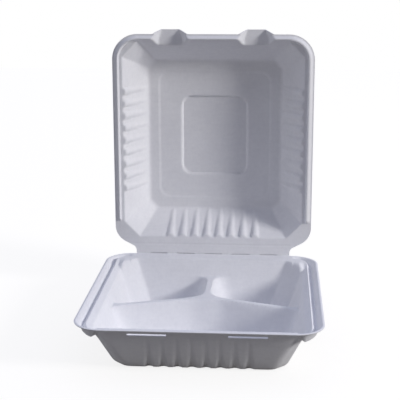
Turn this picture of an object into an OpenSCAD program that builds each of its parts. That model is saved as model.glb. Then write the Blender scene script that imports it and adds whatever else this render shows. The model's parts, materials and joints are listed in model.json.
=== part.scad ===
// Hinged takeaway container pressed from one sheet of plant fibre, with three compartments.
// Millimetres, +Z up. The origin is the middle of the underside, and the front of the tray faces -Y.
// The lid stands open behind the tray and turns on the scored fold along the tray's back edge.

/* [Sheet] */
// Thickness of the pressed sheet
wall = 0.7; // [0.5:0.05:1.0]
// Softening of the two edges of a cut corner
corner_soft = 5; // [2:0.5:6]

/* [Tray] */
// Height of the tray from the table to the top of its rim
base_h = 42.5; // [36:0.5:50]
// Lean of the tray's front and back walls from upright, in degrees
tray_draft = 27.5; // [22:0.5:30]
// Lean of the tray's side walls from upright, in degrees
side_draft = 21.5; // [18:0.5:26]
// Cut of the tray's back corners, measured along each side
back_cut = 16; // [10:0.5:18]
// Cut of the tray's front corners
front_cut = 8; // [6:0.5:12]
// Radius between the tray's floor and its walls, on the inside
tray_fillet = 6; // [4:0.5:9]
// Width of the tray's mouth
opening_w = 176; // [166:1:178]
// Length of the tray's mouth, front to back
opening_l = 188.6; // [170:0.2:200]
// Width across the outside of the rim
rim_w = 203; // [200:1:215]
// Radius of the rim's outer corners
rim_corner_r = 24; // [18:1:30]
// Rim in front of the mouth
front_flange = 4.7; // [3:0.1:10]
// Rim behind the mouth, up to the fold
back_flange = 17.3; // [14:0.1:24]
// Rounded lip where the wall turns into the rim
lip_r = 1.2; // [0.6:0.1:1.6]

/* [Rim groove] */
// Flat lip outside the groove, along the rim's edge
groove_land = 1.2; // [0.8:0.1:2]
// Width of the groove's long outer slope
groove_slope_w = 6.8; // [5.5:0.1:7.5]
// Width of the groove's floor
groove_floor_w = 0.8; // [0.5:0.1:1.2]
// Width of the short rise from the groove's floor to the ledge
groove_side_w = 1; // [0.6:0.1:1.4]
// Depth of the groove
groove_depth = 6.5; // [5.6:0.1:7]
// Depth of the ledge between the groove and the mouth
ledge_depth = 5; // [3.8:0.1:5.4]
// Distance from the fold to the back end of the groove's floor
groove_back = 30; // [26:0.5:40]
// How far the groove follows the front corner of the rim, in degrees
groove_turn = 60; // [40:1:64]
// Length of the slope at each end of the groove
groove_end = 8; // [4:0.5:9]

/* [Divider] */
// Height of the divider's crest above the table
divider_h = 28; // [18:0.5:34]
// Width of the crest
crest_w = 6; // [4:0.5:10]
// Rounding of the crest's edges
crest_r = 1.8; // [1.2:0.1:2.4]
// Lean of the divider's faces from upright, in degrees
divider_draft = 20; // [14:0.5:24]
// How far behind the middle the three arms meet
junction_y = 27; // [15:0.5:35]
// Forward sweep of the two side arms, in degrees
arm_sweep = 18.5; // [5:0.5:25]
// Radius between two arms at the crest
junction_r = 18; // [14:0.5:24]
// Radius between an arm and the wall at the crest
arm_flare_r = 13; // [11.5:0.5:18]

/* [Stiffening ridges] */
// Distance from ridge to ridge
ridge_pitch = 11.75; // [10:0.25:13]
// Radius of a ridge
ridge_r = 4.4; // [3.6:0.1:4.8]
// How far a ridge of the lid stands out of its wall
lid_ridge_proud = 2.4; // [1.5:0.1:2.6]
// How far a ridge of the tray stands out where it meets the floor
tray_ridge_proud = 4; // [2.5:0.1:4.2]
// Radius at the pointed end of a ridge
ridge_tip_r = 2; // [1.6:0.1:2.6]
// How far the pointed end stands out of its wall
ridge_tip_proud = 0.4; // [0.2:0.1:0.8]
// Ridges on the tray's front wall and on the lid's hinge wall
cross_ridges = 8; // [4:1:9]
// Ridges on each side wall of the lid
side_ridges = 9; // [4:1:10]

/* [Lid] */
// Width across the outside of the lid's rim
lid_w = 190.8; // [188:0.2:196]
// Distance from the fold to the lid's front edge
lid_l = 213.5; // [211:0.5:222]
// Depth of the lid, from its rim to the inside of its panel
lid_depth = 34; // [30:0.5:38]
// Lean of the lid's walls from upright, in degrees
lid_draft = 31.5; // [26:0.5:33]
// Radius between the lid's panel and its walls, on the inside
lid_fillet = 8; // [4:0.5:9]
// Cut of the lid's corners at its rim, measured along each side
lid_cut_rim = 15; // [10:0.5:18]
// Cut of the lid's corners at its panel
lid_cut_panel = 8; // [5:0.5:12]
// Width of the lid's mouth
lid_opening_w = 172.6; // [160:0.2:174]
// Rim in front of the lid's mouth
lid_front_rim = 6.4; // [6.2:0.1:9]
// Rim between the fold and the lid's mouth
lid_back_rim = 17; // [13:0.5:20]
// Radius of the lid's front corners
lid_corner_r = 24; // [14:1:30]
// Radius of the lid's shoulders beside the hinge band
shoulder_r = 18; // [12:1:24]
// Turn of each shoulder, in degrees
shoulder_turn = 62; // [52:1:70]
// Distance from the fold to where the shoulders begin
shoulder_start = 30; // [28:1:40]
// Width of the hinge band at the fold
hinge_band_w = 150; // [138:1:154]
// Softening where a shoulder meets the hinge band
band_corner = 1.5; // [0.5:0.1:2]

/* [Lid bead] */
// Height of the bead that drops into the tray's groove
bead_h = 3; // [1.5:0.1:3.2]
// Flat lip outside the bead
bead_lip = 1; // [0.6:0.1:1.5]
// Width of the bead's long outer slope
bead_slope_w = 3.4; // [2.5:0.1:3.6]
// Width of the bead's crest
bead_crest_w = 1; // [0.6:0.1:1.2]
// Width of the bead's steep inner side
bead_side_w = 0.5; // [0.3:0.1:0.7]
// Length over which the bead rises at its two ends
bead_ramp = 3; // [2:0.5:4]
// Length over which the bead rises beside a tab
bead_stop = 1.2; // [0.8:0.1:2]

/* [Lid panel] */
// Width of the shallow field in the panel
field_w = 109; // [80:1:115]
// Length of the field
field_l = 124.6; // [90:0.2:130]
// Depth of the field
field_step = 0.5; // [0.3:0.1:0.7]
// Width of the middle recess
recess_w = 64; // [40:1:75]
// Length of the middle recess
recess_l = 78; // [50:1:85]
// Depth of the middle recess below the field
recess_step = 1; // [0.5:0.1:1.2]
// Corner radius of the field and of the recess
step_corner_r = 10; // [5:0.5:14]

/* [Lock] */
// Distance of each tab and slot from the middle
lock_x = 40.5; // [35:0.5:45]
// Width of a tab at the rim
tab_w = 33.8; // [30:0.2:38]
// Width of a tab's flat floor at its outer edge
tab_floor_w = 16; // [10:0.5:22]
// Width of the floor where it meets the lid's wall
tab_root_w = 23.5; // [18:0.5:27]
// Depth of a tab's floor below the rim
tab_depth = 7; // [4:0.5:10]
// How far a tab reaches past the lid's front edge
tab_reach = 5; // [3:0.5:8]
// Width of a slot
slot_w = 31.5; // [24:0.5:36]
// Height of a slot
slot_h = 2; // [1.2:0.1:2.6]
// Distance from the rim down to the middle of a slot
slot_drop = 6; // [5:0.1:7]

/* [Fold] */
// Angle between the tray's rim and the lid's rim as it stands open
open_angle = 90.5; // [80:0.5:110]
// Gap between the tray and the lid along the fold
fold_gap = 0.4; // [0.2:0.05:0.6]
// Gap between the two rims when the lid lies on the tray
seat_gap = 0.3; // [0.2:0.05:0.6]
// Score cuts along the fold
score_count = 5; // [3:1:6]
// Length of a score cut
score_l = 18; // [10:0.5:19]
// Width of a score cut
score_w = 0.8; // [0.4:0.1:1.2]
// Distance from score to score
score_pitch = 27; // [22:0.5:28]

/* [Hidden] */
fibre = "#e6e5ea";
// overshoot of every cut past the face it opens
over = 1;
// depth to which one formed shape runs into the sheet that it joins
bite = wall / 4;
// segments of a small arc, of a large one, of a fillet, of a ridge and of its pointed end
soft_steps = 3;
arc_steps = 6;
fillet_steps = 3;
ridge_fn = 12;
tip_fn = 8;
octant = 45;
// growth of a corner cut for each unit by which its outline grows
cut_growth = 2 - sqrt(2);

fold_y = opening_l / 2 + back_flange;
front_y = -opening_l / 2 - front_flange;
fold_z = base_h + seat_gap / 2;
tray_depth = base_h - wall;
lid_opening_l = lid_l - lid_front_rim - lid_back_rim;
lid_middle = lid_back_rim + lid_opening_l / 2;

// Points on an arc about c, from angle a0 to a1
function arc(c, r, a0, a1, steps) =
    [for (i = [0:steps]) let (a = a0 + (a1 - a0) * i / steps) [c.x + r * cos(a), c.y + r * sin(a)]];

// Distance from the corner of a leaning wall and a level face to where a round of radius r ends
function round_run(r, lean) = r * (1 - sin(lean)) / cos(lean);

// The same outline at a height
function lifted(outline, z) = [for (p = outline) [p.x, p.y, z]];

// A solid through a row of rings that have equally many points
module loft(rings) {
    m = len(rings[0]);
    n = len(rings);
    sides = [for (k = [0:n - 2], j = [0:m - 1]) let (i = (j + 1) % m)
        [k * m + j, (k + 1) * m + j, (k + 1) * m + i, k * m + i]];
    ends = [[for (j = [0:m - 1]) j], [for (j = [m - 1:-1:0]) (n - 1) * m + j]];
    polyhedron([for (r = rings) each r], concat(sides, ends), convexity = 8);
}

// A section carried along the edge of a rim. Each station is a place on the edge, its outward
// direction, and whether the section is fully formed there. The section gives [inset, height] points.
module along_edge(stations, section) {
    loft([for (s = stations) let (outward = [cos(s[1]), sin(s[1])])
        [for (q = section(s[2])) let (p = s[0] - q[0] * outward) [p.x, p.y, q[1]]]]);
}

// Stations on an arc of the edge about c
function corner_stations(c, r, a0, a1) = [for (i = [0:arc_steps])
    let (a = a0 + (a1 - a0) * i / arc_steps) [c + r * [cos(a), sin(a)], a, true]];

// Rectangle with four round corners, about the origin
function round_rect(w, l, r) = [for (k = [0:3])
    let (sx = (k == 0 || k == 3) ? 1 : -1, sy = k < 2 ? 1 : -1)
    each arc([sx * (w / 2 - r), sy * (l / 2 - r)], r, 90 * k, 90 * k + 90, arc_steps)];

// Rectangle with cut corners whose edges are softened, where the cuts at the two ends may differ
function cut_rect(hw, hl, back, front, soft) = [for (k = [0:7])
    let (inset = (k < 4 ? back : front) + soft * tan(octant / 2),
         sx = (k < 2 || k > 5) ? 1 : -1,
         sy = k < 4 ? 1 : -1,
         on_end = k % 4 == 1 || k % 4 == 2,
         c = on_end ? [sx * (hw - inset), sy * (hl - soft)] : [sx * (hw - soft), sy * (hl - inset)])
    each arc(c, soft, octant * k, octant * k + octant, soft_steps)];

// A dished form with a mouth of w by l at height 0 and its floor at -deep. The leans are those of its
// side and end walls, and each cut is given at the floor and at the mouth. With grow it is the outside
// of the sheet, wall thick, that lines the form. It reaches up to the height top.
module dish(w, l, deep, leans, back_cuts, front_cuts, fillet, grow, top, lip = 0) {
    floor_z = -deep - grow;
    r = fillet + grow;
    floor_heights = [for (p = arc([0, floor_z + r], r, -90, -leans[1], fillet_steps)) p.y];
    lip_turns = arc([0, -lip], lip, 180 - leans[1], 90, soft_steps);
    // how far a wall lies outside the edge of the mouth
    plane = function (lean, z) grow / cos(lean) + z * tan(lean);
    wall_at = function (lean, z) let (below = floor_z + r - z)
        below > r * sin(lean)
        ? plane(lean, floor_z) - round_run(r, lean) + sqrt(max(r * r - below * below, 0))
        : plane(lean, z);
    lip_at = function (lean) plane(lean, 0) + round_run(lip, lean);
    lower = [for (z = floor_heights) [z, wall_at(leans[0], z), wall_at(leans[1], z)]];
    upper = lip > 0
        ? [for (p = concat(lip_turns, [[0, top]])) [p.y, lip_at(leans[0]) + p.x, lip_at(leans[1]) + p.x]]
        : [[top, plane(leans[0], top), plane(leans[1], top)]];
    cut_at = function (cuts, z)
        cuts[0] + (cuts[1] - cuts[0]) * (min(z, 0) + deep) / deep + grow * cut_growth;
    loft([for (p = concat(lower, upper))
        let (back = cut_at(back_cuts, p[0]), front = cut_at(front_cuts, p[0]))
        lifted(cut_rect(w / 2 + p[1], l / 2 + p[2], back, front, corner_soft), p[0])]);
}

// One ridge on a wall that leans away from -Y. The origin is the wall's top edge. It is full at the
// distance full_at down the wall and pointed at tip_at, and grow makes it fatter or thinner.
module ridge(draft, full_at, tip_at, proud, grow) {
    down = [0, sin(draft), -cos(draft)];
    behind = [0, -cos(draft), -sin(draft)];
    hull() {
        translate(down * full_at + behind * (ridge_r - proud))
            sphere(ridge_r + grow, $fn = ridge_fn);
        translate(down * tip_at + behind * (ridge_tip_r - ridge_tip_proud))
            sphere(ridge_tip_r + grow, $fn = tip_fn);
    }
}

// Places of a row of ridges along X
module in_a_row(count) {
    for (k = [0:count - 1])
        translate([(k - (count - 1) / 2) * ridge_pitch, 0, 0]) children();
}

module both_sides() {
    children();
    mirror([1, 0, 0]) children();
}

// Divider of the tray

// direction in which each arm faces its wall, and its turn from that
arm_faces = [0, 90, 180];
arm_turns = [-arm_sweep, 0, arm_sweep];
crest_drop = base_h - divider_h;
side_reach = opening_w / 2 - crest_drop * tan(side_draft);
back_reach = opening_l / 2 - crest_drop * tan(tray_draft) - junction_y;
// distance from the junction to the wall at the height of the crest
arm_reach = [side_reach, back_reach, side_reach];
// how far an arm's flared end runs on behind the wall
arm_root = 14;

function turned(p, a) = [p.x * cos(a) - p.y * sin(a), p.x * sin(a) + p.y * cos(a)];

// Middle of the round between the wall and one edge of arm k: edge is -1 on its right, 1 on its left
function flare_middle(k, edge) = let (a = arm_turns[k], x = arm_reach[k] - arm_flare_r)
    [x, (edge * (crest_w / 2 + arm_flare_r) + sin(a) * x) / cos(a)];

// The flared end of arm k, from its right edge to its left edge
function arm_end(k, spread) = let (
        a = arm_turns[k], r = arm_flare_r - spread, back = arm_reach[k] + arm_root,
        right = flare_middle(k, -1), left = flare_middle(k, 1),
        outline = concat(arc(right, r, a + 90, 0, soft_steps), [[back, right.y], [back, left.y]],
            arc(left, r, 0, a - 90, soft_steps)))
    [for (p = outline) turned(p, arm_faces[k])];

// The round between arm k and the next one
function arm_corner(k, spread) = let (
        next = (k + 1) % 3, a = arm_faces[k] + arm_turns[k],
        b = arm_faces[next] + arm_turns[next] + (next == 0 ? 360 : 0), half = (b - a) / 2,
        d = (crest_w / 2 + junction_r) / sin(half), c = d * [cos(a + half), sin(a + half)])
    arc(c, junction_r - spread, a - 90, b - 270, arc_steps);

function divider_ring(spread, z) =
    [for (k = [0:2], p = concat(arm_end(k, spread), arm_corner(k, spread))) [p.x, p.y + junction_y, z]];

// The divider's outside, or with a negative grow the hollow under it
module divider(grow) {
    side = grow / cos(divider_draft);
    top = divider_h + grow;
    foot = grow < 0 ? -over : 0;
    r = crest_r + grow;
    edge = arc([side - round_run(r, divider_draft), top - r], r, divider_draft, 90, soft_steps);
    loft(concat(
        [divider_ring((top - foot) * tan(divider_draft) + side, foot)],
        [for (p = edge) divider_ring(p.x, p.y)]));
}

// Tray

module tray_dish(grow, top, lip = 0) {
    translate([0, 0, base_h]) dish(opening_w, opening_l, tray_depth, [side_draft, tray_draft],
        [back_cut, back_cut], [front_cut, front_cut], tray_fillet, grow, top, lip);
}

module tray_rim() {
    length = fold_y - fold_gap / 2 - front_y;
    translate([0, front_y + length / 2, base_h - wall]) linear_extrude(wall)
        polygon(round_rect(rim_w, length, rim_corner_r));
}

// The groove and the ledge beside the mouth, on the right. With grow they are the sheet's underside.
module groove(grow) {
    edge_x = rim_w / 2;
    back_y = fold_y - groove_back;
    corner = [edge_x - rim_corner_r, front_y + rim_corner_r];
    end_turn = groove_turn + groove_end / rim_corner_r * 180 / PI;
    slope_end = groove_land + groove_slope_w - grow / 2;
    floor_end = groove_land + groove_slope_w + groove_floor_w + grow / 2;
    ledge_end = rim_corner_r - over + grow;
    top_z = base_h + (grow > 0 ? -bite : over);
    edge_z = base_h - grow / 2;
    section = function (formed) let (
            floor_z = formed ? base_h - groove_depth - grow : edge_z,
            ledge_z = formed ? base_h - ledge_depth - grow : edge_z)
        [[groove_land - grow, edge_z], [groove_land - grow, top_z], [ledge_end, top_z],
         [ledge_end, ledge_z], [floor_end + groove_side_w, ledge_z], [floor_end, floor_z],
         [slope_end, floor_z]];
    along_edge(concat(
        [[[edge_x, back_y + groove_end], 0, false], [[edge_x, back_y], 0, true]],
        corner_stations(corner, rim_corner_r, 0, -groove_turn),
        [[corner + rim_corner_r * [cos(end_turn), -sin(end_turn)], -end_turn, false]]), section);
}

module slot_cut() {
    wall_y = opening_l / 2 - (slot_drop + slot_h) * tan(tray_draft) - over;
    translate([lock_x - slot_w / 2, front_y - over, base_h - slot_drop - slot_h / 2])
        cube([slot_w, over - front_y - wall_y, slot_h]);
}

module tray_ridges(grow) {
    wall_l = tray_depth / cos(tray_draft);
    below_slots = (slot_drop + slot_h + ridge_tip_r) / cos(tray_draft);
    translate([0, -opening_l / 2, base_h]) in_a_row(cross_ridges)
        ridge(tray_draft, wall_l, below_slots, tray_ridge_proud, grow);
}

module base_tray() {
    color(fibre) difference() {
        union() {
            tray_dish(wall, -wall / 2);
            tray_rim();
            both_sides() groove(wall);
        }
        difference() {
            tray_dish(0, over, lip_r);
            divider(0);
            tray_ridges(0);
        }
        divider(-wall);
        tray_ridges(-wall);
        both_sides() groove(0);
        both_sides() slot_cut();
    }
}

// Lid, drawn lying open behind the fold: Y is the distance from the fold and Z = 0 is the rim's face

// Right half of the lid's outline, from the fold to the front
function lid_half() = let (
        band = hinge_band_w / 2, w = lid_w / 2, c = [w - shoulder_r, shoulder_start],
        last = c + shoulder_r * [cos(shoulder_turn), -sin(shoulder_turn)],
        meet = [band + band_corner, last.y - (last.x - band - band_corner) / tan(shoulder_turn)])
    concat([[band, fold_gap / 2], [band, meet.y - 2 * band_corner], meet],
        arc(c, shoulder_r, -shoulder_turn, 0, arc_steps),
        arc([w - lid_corner_r, lid_l - lid_corner_r], lid_corner_r, 0, 90, arc_steps));

module lid_rim() {
    half = lid_half();
    translate([0, 0, -wall]) linear_extrude(wall)
        polygon(concat(half, [for (i = [len(half) - 1:-1:0]) [-half[i].x, half[i].y]]));
}

// Places along the front edge where the bead sinks into the rim beside a tab and rises again
function tab_stations() = [for (x = [-lock_x, lock_x], side = [-1, 1], step = [0, 1])
    let (formed = (side < 0) == (step == 0), out = tab_w / 2 + (formed ? bead_stop : 0))
    [[x + side * out, lid_l], 90, formed]];

// The bead's outside, or with a negative grow the hollow behind it
module bead(grow) {
    w = lid_w / 2;
    r = lid_corner_r;
    slope_end = bead_lip + bead_slope_w - grow / 2;
    crest_end = bead_lip + bead_slope_w + bead_crest_w + grow / 2;
    root = grow < 0 ? -wall - over : -wall + bite;
    section = function (formed) let (crest = formed ? bead_h + grow : root + bite)
        [[bead_lip - grow, root], [slope_end, crest], [crest_end, crest],
         [crest_end + bead_side_w + grow / 2, root]];
    along_edge(concat(
        [[[-w, shoulder_start], 180, false], [[-w, shoulder_start + bead_ramp], 180, true]],
        corner_stations([r - w, lid_l - r], r, 180, 90),
        tab_stations(),
        corner_stations([w - r, lid_l - r], r, 90, 0),
        [[[w, shoulder_start + bead_ramp], 0, true], [[w, shoulder_start], 0, false]]), section);
}

// A spout that carries the rim outwards. The cut through it is open at the front and at the rim.
module tab(grow) {
    rim_half = tab_w / 2 + grow;
    start = lid_l - lid_front_rim - tab_depth;
    open = grow > 0 ? 0 : 2 * over + tab_reach;
    top = grow > 0 ? -bite : over;
    ring = function (start_half, end_half, end, z)
        [[start_half, start, z], [end_half, end, z], [-end_half, end, z], [-start_half, start, z]];
    translate([lock_x, 0, 0]) loft([
        ring(tab_root_w / 2 + grow, tab_floor_w / 2 + grow, lid_l + tab_reach + open, -tab_depth - grow),
        ring(rim_half, rim_half, lid_l + open, -wall / 2),
        ring(rim_half, rim_half, lid_l + open, top)
    ]);
}

module panel_step(w, l, depth, grow) {
    translate([0, lid_middle, -lid_depth - depth - grow]) linear_extrude(depth + wall / 2)
        polygon(round_rect(w + 2 * grow, l + 2 * grow, step_corner_r + grow));
}

module panel_steps(grow) {
    panel_step(field_w, field_l, field_step, grow);
    panel_step(recess_w, recess_l, field_step + recess_step, grow);
}

module lid_dish(grow, top) {
    cuts = [lid_cut_panel, lid_cut_rim];
    translate([0, lid_middle, 0]) dish(lid_opening_w, lid_opening_l, lid_depth, [lid_draft, lid_draft],
        cuts, cuts, lid_fillet, grow, top);
}

module lid_ridge(grow) {
    wall_l = lid_depth / cos(lid_draft);
    ridge(lid_draft, ridge_r, wall_l - ridge_tip_r, lid_ridge_proud, grow);
}

module lid_ridges(grow) {
    translate([0, lid_back_rim, 0]) in_a_row(cross_ridges) lid_ridge(grow);
    both_sides() translate([lid_opening_w / 2, lid_middle, 0]) rotate(90)
        in_a_row(side_ridges) lid_ridge(grow);
}

module score_cuts() {
    for (k = [0:score_count - 1])
        translate([(k - (score_count - 1) / 2) * score_pitch - score_l / 2, -over, -wall - over])
            cube([score_l, over + fold_gap / 2 + score_w, wall + 2 * over]);
}

module lid_flat() {
    difference() {
        union() {
            lid_dish(wall, -wall / 2);
            lid_rim();
            bead(0);
            both_sides() tab(wall);
            panel_steps(wall);
        }
        difference() {
            lid_dish(0, wall / 2);
            lid_ridges(0);
        }
        panel_steps(0);
        bead(-wall);
        lid_ridges(-wall);
        both_sides() tab(0);
        score_cuts();
    }
}

module lid() {
    color(fibre) translate([0, fold_y, fold_z]) rotate([180 - open_angle, 0, 0])
        translate([0, 0, -seat_gap / 2]) lid_flat();
}

base_tray();
lid();
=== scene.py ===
import json
import math

import bpy
import numpy as np
from mathutils import Matrix, Quaternion, Vector

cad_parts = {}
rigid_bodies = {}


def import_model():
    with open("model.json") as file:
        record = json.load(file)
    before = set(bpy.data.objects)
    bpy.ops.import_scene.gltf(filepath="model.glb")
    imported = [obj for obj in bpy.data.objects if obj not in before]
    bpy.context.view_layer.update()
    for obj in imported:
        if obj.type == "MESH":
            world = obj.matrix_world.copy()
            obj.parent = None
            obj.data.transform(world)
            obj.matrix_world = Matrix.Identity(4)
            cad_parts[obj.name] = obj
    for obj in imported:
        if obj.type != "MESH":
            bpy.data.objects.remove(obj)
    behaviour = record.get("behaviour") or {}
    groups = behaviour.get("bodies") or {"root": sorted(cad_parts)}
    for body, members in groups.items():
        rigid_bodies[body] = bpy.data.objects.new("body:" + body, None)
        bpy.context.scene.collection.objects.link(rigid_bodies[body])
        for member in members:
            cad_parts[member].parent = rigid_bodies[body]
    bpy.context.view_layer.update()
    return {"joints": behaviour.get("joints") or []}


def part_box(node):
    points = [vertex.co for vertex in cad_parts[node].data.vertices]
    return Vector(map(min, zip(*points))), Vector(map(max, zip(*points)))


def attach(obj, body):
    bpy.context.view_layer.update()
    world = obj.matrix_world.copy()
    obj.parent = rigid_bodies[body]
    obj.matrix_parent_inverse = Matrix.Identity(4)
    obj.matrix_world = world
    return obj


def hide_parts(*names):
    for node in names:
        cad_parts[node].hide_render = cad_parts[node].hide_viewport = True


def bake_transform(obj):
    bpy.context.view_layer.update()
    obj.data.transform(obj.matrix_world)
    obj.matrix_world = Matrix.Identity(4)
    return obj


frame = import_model()

# Sizes of the pressed sheet, in millimetres

MM = 0.001
tray_low, tray_high = (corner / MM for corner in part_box("base_tray"))
fold = Vector(frame["joints"][0]["pos_m"]) / MM

SHEET = 0.7

BASE_H = tray_high.z
RIM_W = tray_high.x - tray_low.x
RIM_CORNER_R = 24
FRONT_Y = tray_low.y
BACK_Y = tray_high.y
MOUTH_W = 176
MOUTH_L = 188.6
TRAY_DEPTH = BASE_H - SHEET
TRAY_DRAFT = math.radians(27.5)
SIDE_DRAFT = math.radians(21.5)
BACK_CUT = 16
FRONT_CUT = 8

GROOVE_LAND = 1.6
GROOVE_SLOPE_W = 5
GROOVE_FLOOR_W = 0.8
GROOVE_SIDE_W = 2.4
GROOVE_DEPTH = 5.6
GROOVE_CORNER_DEPTH = 8.5
GROOVE_CURVE = 0.7
GROOVE_END = 10
GROOVE_TURN = math.radians(64)
RIM_DROOP = 0.4

# The low ledge inside the groove, which narrows behind to a seat for the lid's bead
LEDGE_DEPTH = 2.3
LEDGE_SLOPE = 0.6
LEDGE_W = 4
LEDGE_BACK = 80
LEDGE_SPAN = 12
LEDGE_FADE = 14
SEAT_X = 89
SEAT_SIDE_W = 5
SEAT_BACK = 93

DIVIDER_H = 28
CREST_W = 6
DIVIDER_DRAFT = math.radians(20)
JUNCTION_Y = 27
ARM_SWEEP = math.radians(18.5)

RIDGE_PITCH = 11.75
RIDGE_TIP_W = 3.5
RIDGE_TIP_PROUD = 0.3
RIDGE_END = 1
RIDGE_BLEND = 0.4
LID_RIDGE_W = 7.2
LID_RIDGE_PROUD = 2.8
LID_RIDGE_TAPER = 1
LID_RIDGE_BULGE = 0.5
TRAY_RIDGE_W = 8
TRAY_RIDGE_PROUD = 3
TRAY_RIDGE_TAPER = 4
TRAY_RIDGE_BULGE = 1
TRAY_RIDGE_PAST = 6
CROSS_RIDGES = 8
SIDE_RIDGES = 9

LID_W = 190.8
LID_L = 213.5
LID_DEPTH = 34
LID_DRAFT = math.radians(31.5)
LID_CUT_RIM = 15
LID_CUT_PANEL = 8
LID_MOUTH_W = 172.6
LID_FRONT_RIM = 6.4
LID_BACK_RIM = 17
LID_CORNER_R = 24
SHOULDER_R = 18
SHOULDER_TURN = math.radians(62)
SHOULDER_START = 27.5
BAND_W = 150
BAND_CORNER = 1.5
BAND_CREASE = 9.5
CREASE_W = 0.9
CREASE_DEPTH = 0.4
OPEN_ANGLE = math.radians(90.5)
SEAT_GAP = 0.3
FOLD_GAP = 0.4

BEAD_H = 3
BEAD_LIP = 0.8
BEAD_SLOPE_W = 3.6
BEAD_CREST_W = 0.8
BEAD_SIDE_W = 1
BEAD_RAMP = 3
BEAD_START = 32

FIELD_W = 109
FIELD_L = 124.6
FIELD_STEP = 0.6
RECESS_W = 64
RECESS_L = 78
RECESS_STEP = 2.4
STEP_CORNER_R = 10

LOCK_X = 40.5
TAB_W = 33.8
TAB_FLOOR_W = 16
TAB_ROOT_W = 23.5
TAB_DEPTH = 7
TAB_REACH = 4
SLOT_W = 31.5
SLOT_H = 2
SLOT_DROP = 6

SCORE_COUNT = 5
SCORE_L = 18
SCORE_W = 0.45
SCORE_PITCH = 27
SCORE_END_W = 0.6
SCORE_LIMIT_W = 0.1

# The fold strip. Places along its run are measured from where it starts to turn
STRIP_SHEET = 0.6
STRIP_INSET = 0.2
STRIP_PLAY = 0.05
STRIP_START = -1.5
STRIP_FINE_START = -0.3
STRIP_FINE_END = 1.2
STRIP_END = 2
POCKET_RISE = (-0.25, 0.05)
POCKET_FALL = (1.1, 0.7)

# Spacing of the blanks' grid lines
FLOOR_STEP = 1.25
WALL_STEP = 0.75
SLOT_STEP = 0.6
TRAY_RIM_STEP = 0.5
BACK_RIM_STEP = 1
LID_ROW_STEP = 1.3
LID_RIM_STEP = 0.45
BAND_STEP = 0.9
STRIP_ROW_STEP = 0.5
STRIP_STEP = 0.4
STRIP_FINE_STEP = 0.1

# The lid's outline narrows only outside this half width
LID_KEPT_HALF = 60

# Edges that bend more than this are shaded sharp
SHARP_ANGLE = math.radians(50)

# Lengths that stand for nothing where a sum divides by them
LEAST_ARM = 0.01
LEAST_REACH = 1e-9

LID_MOUTH_L = LID_L - LID_FRONT_RIM - LID_BACK_RIM
LID_MIDDLE = LID_BACK_RIM + LID_MOUTH_L / 2
RIM_L = BACK_Y - FRONT_Y
RIM_MIDDLE = (BACK_Y + FRONT_Y) / 2


# Node trees written as sums


class Wire:
    """An output socket that takes part in sums: every operator adds the Math node that it needs."""

    def __init__(self, bench, socket):
        self.bench = bench
        self.socket = socket

    def math(self, operation, *others):
        return self.bench.math(operation, self, *others)

    def __add__(self, other):
        return self.math("ADD", other)

    __radd__ = __add__

    def __sub__(self, other):
        return self.math("SUBTRACT", other)

    def __rsub__(self, other):
        return self.bench.math("SUBTRACT", other, self)

    def __mul__(self, other):
        return self.math("MULTIPLY", other)

    __rmul__ = __mul__

    def __truediv__(self, other):
        return self.math("DIVIDE", other)

    def __neg__(self):
        return self.math("MULTIPLY", -1)

    def __abs__(self):
        return self.math("ABSOLUTE")

    def root(self):
        return self.math("SQRT")

    def least(self, other):
        return self.math("MINIMUM", other)

    def most(self, other):
        return self.math("MAXIMUM", other)

    def soft_least(self, other, reach):
        return self.math("SMOOTH_MIN", other, reach)

    def soft_most(self, other, reach):
        return self.math("SMOOTH_MAX", other, reach)

    def share(self, start, end, shape="LINEAR"):
        """0 at start, 1 at end and held beyond them."""
        return self.bench.add(
            "ShaderNodeMapRange",
            {"interpolation_type": shape, "clamp": True},
            {"Value": self, "From Min": start, "From Max": end, "To Min": 0.0, "To Max": 1.0},
        )


class Bench:
    """A node tree under construction."""

    def __init__(self, tree):
        self.tree = tree

    def add(self, kind, settings=None, sockets=None, out=0):
        node = self.tree.nodes.new(kind)
        for name, value in (settings or {}).items():
            setattr(node, name, value)
        for key, value in (sockets or {}).items():
            if isinstance(value, Wire):
                self.tree.links.new(value.socket, node.inputs[key])
            else:
                node.inputs[key].default_value = value
        return Wire(self, node.outputs[out]) if node.outputs else node

    def math(self, operation, *values):
        return self.add("ShaderNodeMath", {"operation": operation}, dict(enumerate(values)))

    def mix(self, factor, first, second):
        """Colour mix."""
        return self.add(
            "ShaderNodeMix", {"data_type": "RGBA"}, {0: factor, 6: first, 7: second}, out=2
        )

    def split(self, vector):
        node = self.add("ShaderNodeSeparateXYZ", None, {0: vector}).socket.node
        return [Wire(self, output) for output in node.outputs]


# Geometry trees that press a flat blank


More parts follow.
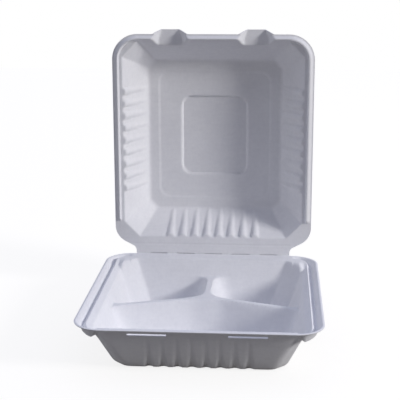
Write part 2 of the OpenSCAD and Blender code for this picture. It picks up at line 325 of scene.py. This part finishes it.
class Press(Bench):
    """A geometry tree with named sizes. Lengths inside it are millimetres."""

    def __init__(self, name, sizes):
        super().__init__(bpy.data.node_groups.new(name, "GeometryNodeTree"))
        face = self.tree.interface
        face.new_socket("Blank", in_out="INPUT", socket_type="NodeSocketGeometry")
        self.ids = {
            key: face.new_socket(key, in_out="INPUT", socket_type="NodeSocketFloat").identifier
            for key in sizes
        }
        face.new_socket("Pressed", in_out="OUTPUT", socket_type="NodeSocketGeometry")
        entry = self.tree.nodes.new("NodeGroupInput")
        self.blank = Wire(self, entry.outputs["Blank"])
        self.size = {key: Wire(self, entry.outputs[key]) for key in sizes}
        self.values = sizes
        place = self.add("GeometryNodeInputPosition")
        self.x, self.y = (part * (1 / MM) for part in self.split(place)[:2])

    def close(self, x, y, z, material):
        """Moves every point to x, y, z and ends the tree."""
        place = self.add("ShaderNodeCombineXYZ", None, {0: x * MM, 1: y * MM, 2: z * MM})
        shape = self.add(
            "GeometryNodeSetPosition", None, {"Geometry": self.blank, "Position": place}
        )
        shape = self.add("GeometryNodeSetShadeSmooth", None, {"Geometry": shape})
        shape = self.add("GeometryNodeRealizeInstances", None, {"Geometry": shape})
        shape = self.add(
            "GeometryNodeSetMaterial", None, {"Geometry": shape, "Material": material}
        )
        self.add("NodeGroupOutput", None, {"Pressed": shape})

    def run(self, blank, thickness):
        """The pressed blank as a plain mesh object, with the sheet's thickness below it."""
        modifier = blank.modifiers.new("press", "NODES")
        modifier.node_group = self.tree
        for key, identifier in self.ids.items():
            modifier[identifier] = float(self.values[key])
        solid = blank.modifiers.new("sheet", "SOLIDIFY")
        solid.thickness = thickness * MM
        solid.offset = -1
        solid.use_even_offset = True
        depsgraph = bpy.context.evaluated_depsgraph_get()
        pressed = bpy.data.meshes.new_from_object(blank.evaluated_get(depsgraph))
        blank.modifiers.clear()
        blank.data = pressed
        pressed.set_sharp_from_angle(angle=SHARP_ANGLE)
        return blank


def round_inset(across, along, half_w, half_l, corner_r):
    """Distance inside a round-cornered rectangle, from its edge."""
    over_x = across - (half_w - corner_r)
    over_y = along - (half_l - corner_r)
    beyond_x = over_x.most(0)
    beyond_y = over_y.most(0)
    return corner_r - (beyond_x * beyond_x + beyond_y * beyond_y).root() - over_x.most(over_y).least(0)


def ridge_rise(along, down, count, full_at, tip_at, full_w, full_proud, taper, bulge):
    """How far a row of ridges stands out of a wall, by the place along the row and down the wall.

    Each ridge is full at one depth and slim at its tip. taper says how soon it sinks, and bulge how
    round its section is.
    """
    half_pitch = RIDGE_PITCH / 2
    half_row = count * half_pitch
    nearest = abs((along + half_row).math("FLOORED_MODULO", RIDGE_PITCH) - half_pitch)
    aside = nearest.most(abs(along) - half_row + half_pitch)
    past = (min(full_at, tip_at) - down).most(0) + (down - max(full_at, tip_at)).most(0)
    slim = down.share(full_at, tip_at)
    half_w = full_w / 2 + slim * ((RIDGE_TIP_W - full_w) / 2)
    proud = RIDGE_TIP_PROUD + (1 - slim).math("POWER", taper) * (full_proud - RIDGE_TIP_PROUD)
    off_crest = (aside * aside + past * past) / (half_w * half_w)
    return ((1 - off_crest).most(0).math("POWER", bulge) * proud).soft_most(0, RIDGE_BLEND)


def press_tray(material):
    """The tray: drafted walls with cut corners, the Y-shaped divider, and the rim with its grooves."""
    press = Press("press_tray", {
        "Height": BASE_H, "Depth": TRAY_DEPTH, "Mouth width": MOUTH_W, "Mouth length": MOUTH_L,
        "Back cut": BACK_CUT, "Front cut": FRONT_CUT, "Divider drop": BASE_H - DIVIDER_H,
        "Crest width": CREST_W, "Junction": JUNCTION_Y, "Groove depth": GROOVE_DEPTH,
        "Corner depth": GROOVE_CORNER_DEPTH, "Ledge depth": LEDGE_DEPTH,
        "Lip": 1.6, "Side lip": 7, "Floor fillet": 9, "Crest softness": 2.4,
        "Front softness": 7, "Back softness": 2, "Front corner lean": 1.06,
        "Arm flare": 36, "Back flare": 56, "Junction softness": 24, "Front bend": 5,
    })
    size = press.size
    x, y = press.x, press.y
    across, along = abs(x), abs(y)
    on_front = y.math("LESS_THAN", 0)
    side_lean, end_lean = math.tan(SIDE_DRAFT), math.tan(TRAY_DRAFT)

    in_side = size["Mouth width"] / 2 - across
    in_end = size["Mouth length"] / 2 - along
    in_corner = in_side + in_end - size["Back cut"] - on_front * (size["Front cut"] - size["Back cut"])
    wall_l = TRAY_DEPTH / math.cos(TRAY_DRAFT)
    below_slots = (SLOT_DROP + SLOT_H + RIDGE_TIP_W / 2) / math.cos(TRAY_DRAFT)
    foot = wall_l + TRAY_RIDGE_PAST
    down = in_end / math.sin(TRAY_DRAFT)
    rise = ridge_rise(
        x, down, CROSS_RIDGES, foot, below_slots,
        TRAY_RIDGE_W, TRAY_RIDGE_PROUD, TRAY_RIDGE_TAPER, TRAY_RIDGE_BULGE,
    )
    end_wall = (in_end - rise * on_front / math.cos(TRAY_DRAFT)) / -end_lean
    softness = size["Back softness"] + on_front * (size["Front softness"] - size["Back softness"])
    walls = (in_side / -side_lean).soft_most(end_wall, softness)
    corner_lean = (side_lean + end_lean) * (1 + on_front * (size["Front corner lean"] - 1))
    walls = walls.soft_most(in_corner / -corner_lean, softness)

    bent = (x * x + size["Front bend"] * size["Front bend"]).root()
    behind = y - size["Junction"]
    side_arm = abs(bent * math.sin(ARM_SWEEP) + behind * math.cos(ARM_SWEEP))
    before = (-behind).most(0)
    back_arm = (x * x + before * before).root()
    spine = side_arm.soft_least(back_arm, size["Junction softness"])
    face = (size["Crest width"] / 2 - spine) / math.tan(DIVIDER_DRAFT) - size["Divider drop"]
    to_back = y.share(size["Junction"], MOUTH_L / 3)
    flare = size["Arm flare"] + to_back * (size["Back flare"] - size["Arm flare"])
    divider = walls.soft_most(face, flare).soft_least(-size["Divider drop"], size["Crest softness"])
    form = divider.soft_most(walls, size["Crest softness"]).soft_most(-size["Depth"], size["Floor fillet"])

    inset = round_inset(across, abs(y - RIM_MIDDLE), RIM_W / 2, RIM_L / 2, RIM_CORNER_R)
    corner_x = (across - (RIM_W / 2 - RIM_CORNER_R)).most(LEAST_ARM)
    corner_y = (abs(y - RIM_MIDDLE) - (RIM_L / 2 - RIM_CORNER_R)).most(0)
    turn = corner_y.math("ARCTAN2", corner_x)
    formed = turn.share(GROOVE_TURN + GROOVE_END / RIM_CORNER_R, GROOVE_TURN)
    slope_end = GROOVE_LAND + GROOVE_SLOPE_W
    floor_end = slope_end + GROOVE_FLOOR_W
    side_end = floor_end + GROOVE_SIDE_W
    round_front = turn.share(0, GROOVE_TURN) * on_front
    depth = size["Groove depth"] + round_front * (size["Corner depth"] - size["Groove depth"])
    ledge = size["Ledge depth"] + (inset - side_end).most(0).least(LEDGE_W) * LEDGE_SLOPE
    reach = across + y.share(LEDGE_BACK, LEDGE_BACK - LEDGE_FADE) * LEDGE_SPAN
    in_seat = reach.share(SEAT_X - SEAT_SIDE_W, SEAT_X)
    ledge = ledge * in_seat * y.share(SEAT_BACK, SEAT_BACK - LEDGE_FADE)
    ledge = ledge + round_front * (depth - ledge)
    hollow = inset.share(GROOVE_LAND, slope_end)
    sunk = (hollow * hollow * GROOVE_CURVE + hollow * (1 - GROOVE_CURVE)) * depth
    sunk = sunk + inset.share(floor_end, side_end) * (ledge - depth)
    droop = inset.share(GROOVE_LAND, 0)
    rim = -formed * sunk - droop * droop * RIM_DROOP
    lip = size["Lip"] + formed * (size["Side lip"] - size["Lip"])

    press.close(x, y, form.soft_least(rim, lip) + size["Height"], material)
    return press


def press_lid(material):
    """The lid with its mouth up: ridged walls, the stepped panel, and the rim with bead and tabs."""
    press = Press("press_lid", {
        "Depth": LID_DEPTH, "Mouth width": LID_MOUTH_W, "Mouth length": LID_MOUTH_L,
        "Corner cut": LID_CUT_RIM, "Bead height": BEAD_H,
        "Tab depth": TAB_DEPTH, "Field step": FIELD_STEP, "Recess step": RECESS_STEP,
        "Lip": 1.2, "Panel fillet": 4, "Corner softness": 1.5, "Step width": 1,
    })
    size = press.size
    x, y = press.x, press.y
    across, along = abs(x), abs(y - LID_MIDDLE)
    lean = math.tan(LID_DRAFT)
    corner_lean = 2 * lean - (LID_CUT_RIM - LID_CUT_PANEL) / LID_DEPTH

    in_side = size["Mouth width"] / 2 - across
    in_end = size["Mouth length"] / 2 - along
    in_corner = in_side + in_end - size["Corner cut"]
    wall_l = LID_DEPTH / math.cos(LID_DRAFT)

    def rise(row, inset, count):
        down = inset / math.sin(LID_DRAFT)
        return ridge_rise(
            row, down, count, RIDGE_END, wall_l - RIDGE_END,
            LID_RIDGE_W, LID_RIDGE_PROUD, LID_RIDGE_TAPER, LID_RIDGE_BULGE,
        )

    on_hinge_side = y.math("LESS_THAN", LID_MIDDLE)
    on_front = 1 - on_hinge_side
    proud = 1 / math.cos(LID_DRAFT)
    side_wall = (in_side - rise(y - LID_MIDDLE, in_side, SIDE_RIDGES) * proud) / -lean
    end_wall = (in_end - rise(x, in_end, CROSS_RIDGES) * on_hinge_side * proud) / -lean
    walls = side_wall.soft_most(end_wall, size["Corner softness"])
    walls = walls.soft_most(in_corner / -corner_lean, size["Corner softness"])

    half_step = size["Step width"] / 2
    field = round_inset(across, along, FIELD_W / 2, FIELD_L / 2, STEP_CORNER_R)
    recess = round_inset(across, along, RECESS_W / 2, RECESS_L / 2, STEP_CORNER_R)
    panel = -size["Depth"] - field.share(-half_step, half_step, "SMOOTHSTEP") * size["Field step"]
    panel = panel - recess.share(-half_step, half_step, "SMOOTHSTEP") * size["Recess step"]
    form = walls.soft_most(panel, size["Panel fillet"])

    inset = round_inset(across, y - LID_L / 2, LID_W / 2, LID_L / 2, LID_CORNER_R)
    beside_tab = abs(across - LOCK_X)
    formed = y.share(BEAD_START, BEAD_START + BEAD_RAMP)
    slope_end = BEAD_LIP + BEAD_SLOPE_W
    side_end = slope_end + BEAD_CREST_W + BEAD_SIDE_W
    raised = inset.share(BEAD_LIP, slope_end, "SMOOTHSTEP")
    raised = raised * inset.share(side_end, side_end - BEAD_SIDE_W)
    outer = y.share(LID_L - LID_FRONT_RIM, LID_L + TAB_REACH)
    floor_half = TAB_ROOT_W / 2 + outer * ((TAB_FLOOR_W - TAB_ROOT_W) / 2)
    sunk = beside_tab.share(TAB_W / 2, floor_half) * (size["Bead height"] + size["Tab depth"])
    spout = size["Bead height"] - sunk * on_front
    crease = abs(y - BAND_CREASE).share(CREASE_W, 0)
    rim = (raised * formed * size["Bead height"]).least(spout) - crease * CREASE_DEPTH

    press.close(x, y, form.soft_least(rim, size["Lip"]), material)
    return press


def press_fold(material):
    """The scored fold: a strip that leaves the tray level, turns about the fold and runs up the lid."""
    press = Press("press_fold", {
        "Inner radius": SEAT_GAP / 2 + STRIP_PLAY,
        "Score length": SCORE_L, "Score pitch": SCORE_PITCH, "Score depth": 0.8,
    })
    size = press.size
    x, run = press.x, press.y
    radius = size["Inner radius"]
    quarter = radius * (math.pi / 2)
    turn = (run / radius).most(0).least(math.pi / 2)
    row = SCORE_COUNT * size["Score pitch"] / 2
    nearest = abs((x + row).math("FLOORED_MODULO", size["Score pitch"]) - size["Score pitch"] / 2)
    half_score = size["Score length"] / 2
    in_score = nearest.share(half_score, half_score - SCORE_END_W)
    in_score = in_score * abs(x).share(row, row - SCORE_LIMIT_W)
    pocket = in_score * run.share(*POCKET_RISE) * run.share(*POCKET_FALL) * size["Score depth"]
    reach = radius + pocket
    y = fold.y + turn.math("SINE") * reach + run.least(0)
    z = fold.z - turn.math("COSINE") * reach + (run - quarter).most(0)
    press.close(x, y, z, material)
    return press


# Flat blanks


def grid_lines(first, *stretches):
    """Lines from first to each mark in turn, at about the given spacing."""
    lines = [first]
    for mark, spacing in stretches:
        count = max(1, round(abs(mark - lines[-1]) / spacing))
        lines += list(np.linspace(lines[-1], mark, count + 1)[1:])
    return np.array(lines)


def both_sides(half):
    return np.concatenate([-half[:0:-1], half])


def cut_blank(name, xs, ys, place, hole):
    """A flat sheet on grid lines. place moves its points to the outline, and hole leaves cells out."""
    across, along = np.meshgrid(xs, ys)
    mid_x = (xs[:-1] + xs[1:]) / 2
    mid_y = (ys[:-1] + ys[1:]) / 2
    kept = ~hole(*np.meshgrid(mid_x, mid_y))
    index = np.arange(across.size).reshape(across.shape)
    corners = (index[:-1, :-1], index[:-1, 1:], index[1:, 1:], index[1:, :-1])
    faces = np.stack([c[kept] for c in corners], axis=1)
    flat_x, flat_y = place(across, along)
    points = np.stack([flat_x, flat_y, np.zeros_like(flat_x)], axis=-1).reshape(-1, 3) * MM
    mesh = bpy.data.meshes.new(name)
    mesh.from_pydata(points.tolist(), [], faces.tolist())
    piece = bpy.data.objects.new(name, mesh)
    bpy.context.scene.collection.objects.link(piece)
    return piece


def rounded(across, along, corner_x, corner_y, radius):
    """Draws the square beyond a corner's middle into a quarter disc, ring by ring."""
    over_x = np.maximum(across - corner_x, 0) / radius
    over_y = np.maximum(along - corner_y, 0) / radius
    ring = np.maximum(over_x, over_y)
    reach = np.maximum(np.hypot(over_x, over_y), LEAST_REACH)
    pull = np.where((over_x > 0) & (over_y > 0), ring / reach, 1)
    new_x = np.where(over_x > 0, corner_x + radius * over_x * pull, across)
    new_y = np.where(over_y > 0, corner_y + radius * over_y * pull, along)
    return new_x, new_y


def tray_blank():
    lean = math.tan(TRAY_DRAFT)
    foot_x = MOUTH_W / 2 - TRAY_DEPTH * math.tan(SIDE_DRAFT)
    foot_y = MOUTH_L / 2 - TRAY_DEPTH * lean
    slot_ends = (LOCK_X - SLOT_W / 2, LOCK_X + SLOT_W / 2)
    slot_front = -MOUTH_L / 2 + (SLOT_DROP - SLOT_H / 2) * lean
    slot_back = -MOUTH_L / 2 + (SLOT_DROP + SLOT_H / 2) * lean
    xs = both_sides(grid_lines(
        0, (slot_ends[0], FLOOR_STEP), (slot_ends[1], FLOOR_STEP), (foot_x, FLOOR_STEP),
        (MOUTH_W / 2, WALL_STEP), (RIM_W / 2, TRAY_RIM_STEP),
    ))
    ys = grid_lines(
        FRONT_Y, (-MOUTH_L / 2, TRAY_RIM_STEP), (slot_front, SLOT_STEP), (slot_back, SLOT_STEP),
        (-foot_y, WALL_STEP), (foot_y, FLOOR_STEP), (MOUTH_L / 2, WALL_STEP), (BACK_Y, BACK_RIM_STEP),
    )

    def place(x, y):
        corner_x = RIM_W / 2 - RIM_CORNER_R
        corner_y = RIM_L / 2 - RIM_CORNER_R
        new_x, new_y = rounded(abs(x), abs(y - RIM_MIDDLE), corner_x, corner_y, RIM_CORNER_R)
        return np.sign(x) * new_x, RIM_MIDDLE + np.sign(y - RIM_MIDDLE) * new_y

    def hole(x, y):
        in_length = (abs(x) > slot_ends[0]) & (abs(x) < slot_ends[1])
        return in_length & (y > slot_front) & (y < slot_back)

    return cut_blank("tray_shell", xs, ys, place, hole)


def lid_half_width(y):
    """Half the lid's width at a distance from the fold, along the shoulders and the hinge band."""
    half = LID_W / 2
    band = BAND_W / 2
    arc_end_x = half - SHOULDER_R * (1 - math.cos(SHOULDER_TURN))
    arc_end_y = SHOULDER_START - SHOULDER_R * math.sin(SHOULDER_TURN)
    meet_x = band + BAND_CORNER
    meet_y = arc_end_y - (arc_end_x - meet_x) / math.tan(SHOULDER_TURN)
    below = np.clip(SHOULDER_START - y, 0, SHOULDER_R)
    on_arc = half - SHOULDER_R + np.sqrt(SHOULDER_R**2 - below**2)
    straight = np.interp(y, [meet_y - 2 * BAND_CORNER, meet_y, arc_end_y], [band, meet_x, arc_end_x])
    return np.where(y >= arc_end_y, on_arc, straight)


def lid_blank():
    lean = math.tan(LID_DRAFT)
    foot_x = LID_MOUTH_W / 2 - LID_DEPTH * lean
    back_foot = LID_BACK_RIM + LID_DEPTH * lean
    front_mouth = LID_L - LID_FRONT_RIM
    front_foot = front_mouth - LID_DEPTH * lean
    score_marks = [
        (k * SCORE_PITCH + side * SCORE_L / 2, LID_ROW_STEP)
        for k in range(SCORE_COUNT // 2 + 1) for side in (-1, 1) if k > 0 or side > 0
    ]
    xs = both_sides(grid_lines(
        0, *score_marks, (foot_x, LID_ROW_STEP), (LID_MOUTH_W / 2, WALL_STEP), (LID_W / 2, LID_RIM_STEP)
    ))
    score_edge = FOLD_GAP / 2 + SCORE_W
    ys = grid_lines(
        FOLD_GAP / 2, (score_edge, BAND_STEP), (BAND_CREASE, BAND_STEP), (LID_BACK_RIM, BAND_STEP),
        (back_foot, WALL_STEP), (front_foot, FLOOR_STEP), (front_mouth, WALL_STEP), (LID_L, LID_RIM_STEP),
    )

    def place(x, y):
        new_x, new_y = rounded(abs(x), y, LID_W / 2 - LID_CORNER_R, LID_L - LID_CORNER_R, LID_CORNER_R)
        narrow = (lid_half_width(y) - LID_KEPT_HALF) / (LID_W / 2 - LID_KEPT_HALF)
        drawn_in = LID_KEPT_HALF + (new_x - LID_KEPT_HALF) * narrow
        new_x = np.where(new_x > LID_KEPT_HALF, drawn_in, new_x)
        spout = np.clip((TAB_W / 2 - abs(new_x - LOCK_X)) / (TAB_W / 2 - TAB_FLOOR_W / 2), 0, 1)
        new_y = new_y + spout * TAB_REACH * np.clip((y - front_mouth) / LID_FRONT_RIM, 0, 1)
        return np.sign(x) * new_x, new_y

    def hole(x, y):
        nearest = abs((x + SCORE_PITCH / 2) % SCORE_PITCH - SCORE_PITCH / 2)
        in_row = abs(x) < SCORE_COUNT * SCORE_PITCH / 2
        return in_row & (nearest < SCORE_L / 2) & (y < score_edge)

    return cut_blank("lid_shell", xs, ys, place, hole)


def fold_blank():
    xs = both_sides(grid_lines(0, (BAND_W / 2 - STRIP_INSET, STRIP_ROW_STEP)))
    ys = grid_lines(
        STRIP_START, (STRIP_FINE_START, STRIP_STEP),
        (STRIP_FINE_END, STRIP_FINE_STEP), (STRIP_END, STRIP_STEP),
    )

    def place(x, y):
        return x, y

    def hole(x, y):
        return np.zeros(x.shape, dtype=bool)

    return cut_blank("fold_strip", xs, ys, place, hole)


# Fibre

FIBRE_GREY = (0.77, 0.77, 0.8, 1)
FIBRE_PALE = (0.86, 0.86, 0.88, 1)
FLECK_BROWN = (0.55, 0.5, 0.44, 1)
FLECK_SHARE = 0.25
CLOUD_SCALE = 38
STRAND_SCALE = 420
FLECK_SCALE = 700
GRAIN_SCALE = 1500
FIBRE_ROUGHNESS = 0.82
FELT_HEIGHT = 0.0002


def fibre_material():
    """Felted fibre: two layers of crossed strands, soft clouds of tone, fine grain and a few flecks."""
    material = bpy.data.materials.new("pressed_fibre")
    material.use_nodes = True
    bench = Bench(material.node_tree)
    shader = material.node_tree.nodes["Principled BSDF"]
    place = bench.add("ShaderNodeTexCoord", None, None, out=3)

    def noise(scale, detail, stretch=(1, 1, 1), turn=(0, 0, 0)):
        mapped = bench.add(
            "ShaderNodeMapping", None, {"Vector": place, "Scale": stretch, "Rotation": turn}
        )
        return bench.add(
            "ShaderNodeTexNoise", None, {"Vector": mapped, "Scale": scale, "Detail": detail}
        )

    cloud = noise(CLOUD_SCALE, 3)
    strands = noise(STRAND_SCALE, 4, (1, 0.25, 0.6), (0.4, 0.7, 0.9))
    cross_strands = noise(STRAND_SCALE, 4, (0.3, 1, 0.8), (0.9, 0.2, 0.5))
    grain = noise(GRAIN_SCALE, 3)
    flecks = noise(FLECK_SCALE, 2, (1, 0.4, 0.7)).share(0.72, 0.8)
    felt = strands * 0.5 + cross_strands * 0.5
    tone = 0.5 + (cloud - 0.5) * 0.5 + (felt - 0.5) * 0.9
    colour = bench.mix(tone.share(0.2, 0.8), FIBRE_GREY, FIBRE_PALE)
    colour = bench.mix(flecks * FLECK_SHARE, colour, FLECK_BROWN)
    roughness = FIBRE_ROUGHNESS + (felt - 0.5) * 0.25
    height = felt * 0.7 + grain * 0.3
    normal = bench.add(
        "ShaderNodeBump", None, {"Strength": 0.35, "Distance": FELT_HEIGHT, "Height": height}
    )
    links = material.node_tree.links
    links.new(colour.socket, shader.inputs["Base Color"])
    links.new(roughness.socket, shader.inputs["Roughness"])
    links.new(normal.socket, shader.inputs["Normal"])
    shader.inputs["Specular IOR Level"].default_value = 0.25
    return material


# Pieces

fibre = fibre_material()

tray_shell = press_tray(fibre).run(tray_blank(), SHEET)
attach(tray_shell, "tray")
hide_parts("base_tray")

lid_shell = press_lid(fibre).run(lid_blank(), SHEET)
stand = Matrix.Translation(fold * MM) @ Matrix.Rotation(math.pi - OPEN_ANGLE, 4, "X")
lid_shell.data.transform(stand @ Matrix.Translation((0, 0, -SEAT_GAP / 2 * MM)))
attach(lid_shell, "cover")
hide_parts("lid")

fold_strip = press_fold(fibre).run(fold_blank(), STRIP_SHEET)
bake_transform(fold_strip)

# Camera, as the photograph sees it

CAMERA_PLACE = Vector((59.2, -858.3, 338.7)) * MM
CAMERA_YAW = math.radians(-4.215)
CAMERA_PITCH = math.radians(13.956)
CAMERA_ROLL = math.radians(-0.161)
CAMERA_LENS = 93.0

camera = bpy.data.objects.new("camera", bpy.data.cameras.new("camera"))
bpy.context.scene.collection.objects.link(camera)
ahead = Vector((
    math.sin(CAMERA_YAW) * math.cos(CAMERA_PITCH),
    math.cos(CAMERA_YAW) * math.cos(CAMERA_PITCH),
    -math.sin(CAMERA_PITCH),
))
camera.location = CAMERA_PLACE
camera.rotation_mode = "QUATERNION"
camera.rotation_quaternion = ahead.to_track_quat("-Z", "Y") @ Quaternion((0, 0, 1), CAMERA_ROLL)
camera.data.lens = CAMERA_LENS
camera.data.clip_start = 0.01
bpy.context.scene.camera = camera

# Light and floor


def area_lamp(name, place, target, width, power, colour):
    lamp = bpy.data.lights.new(name, "AREA")
    lamp.shape = "DISK"
    lamp.size = width
    lamp.energy = power
    lamp.color = colour
    piece = bpy.data.objects.new(name, lamp)
    piece.location = place
    piece.rotation_mode = "QUATERNION"
    piece.rotation_quaternion = (Vector(target) - Vector(place)).to_track_quat("-Z", "Y")
    bpy.context.scene.collection.objects.link(piece)


def seen_directly(bench):
    """1 for what the camera sees, also in a mirror or through glass."""
    path = bench.add("ShaderNodeLightPath").socket.node
    seen = Wire(bench, path.outputs["Is Camera Ray"])
    for ray in ("Is Glossy Ray", "Is Transmission Ray"):
        seen = seen.most(Wire(bench, path.outputs[ray]))
    return seen


TARGET = (0, 0.06, 0.1)
KEY_PLACE = (2.15, -0.8, 1.05)
KEY_SIZE = 0.58
KEY_POWER = 39
KEY_COLOUR = (1, 0.985, 0.98)
WHITE = (1, 1, 1, 1)
BLACK = (0, 0, 0, 1)
NEAR_WALL = (0.03, 0.025, 0.02, 1)
FAR_WALL = (0.6, 0.62, 0.68, 1)
LEFT_WALL = (0.55, 0.55, 0.58, 1)
NEAR_CEILING = (0.32, 0.34, 0.44, 1)
FAR_CEILING = (0.6, 0.645, 0.835, 1)
FLOOR_HALF = 2
FLOOR_DROP = 0.0001
FLOOR_COLOUR = (0.22, 0.21, 0.2, 1)
FLOOR_GLOW = (0.82, 0.82, 0.82, 1)

area_lamp("key_lamp", KEY_PLACE, TARGET, KEY_SIZE, KEY_POWER, KEY_COLOUR)

world = bpy.data.worlds.new("studio")
world.use_nodes = True
bpy.context.scene.world = world
sky = Bench(world.node_tree)
background = world.node_tree.nodes["Background"]
sideways, inward, upward = sky.split(sky.add("ShaderNodeTexCoord", None, None))
walls = sky.mix(inward.share(0, 0.6), NEAR_WALL, FAR_WALL)
walls = sky.mix((-sideways).share(0.2, 0.8), walls, LEFT_WALL)
ceiling = sky.mix(inward.share(-0.6, 0.6), NEAR_CEILING, FAR_CEILING)
studio = sky.mix(upward.share(0.35, 0.65), walls, ceiling)
sky_colour = sky.mix(seen_directly(sky), studio, WHITE)
world.node_tree.links.new(sky_colour.socket, background.inputs["Color"])

floor_mesh = bpy.data.meshes.new("floor")
floor_mesh.from_pydata(
    [(sx * FLOOR_HALF, sy * FLOOR_HALF, -FLOOR_DROP) for sx, sy in ((-1, -1), (1, -1), (1, 1), (-1, 1))],
    [],
    [(0, 1, 2, 3)],
)
floor = bpy.data.objects.new("floor", floor_mesh)
bpy.context.scene.collection.objects.link(floor)
floor_material = bpy.data.materials.new("pale_floor")
floor_material.use_nodes = True
paper = Bench(floor_material.node_tree)
floor_shader = floor_material.node_tree.nodes["Principled BSDF"]
floor_shader.inputs["Base Color"].default_value = FLOOR_COLOUR
floor_shader.inputs["Roughness"].default_value = 0.9
floor_shader.inputs["Emission Strength"].default_value = 1
glow = paper.mix(seen_directly(paper), BLACK, FLOOR_GLOW)
floor_material.node_tree.links.new(glow.socket, floor_shader.inputs["Emission Color"])
floor_mesh.materials.append(floor_material)

bpy.context.scene.view_settings.view_transform = "Standard"
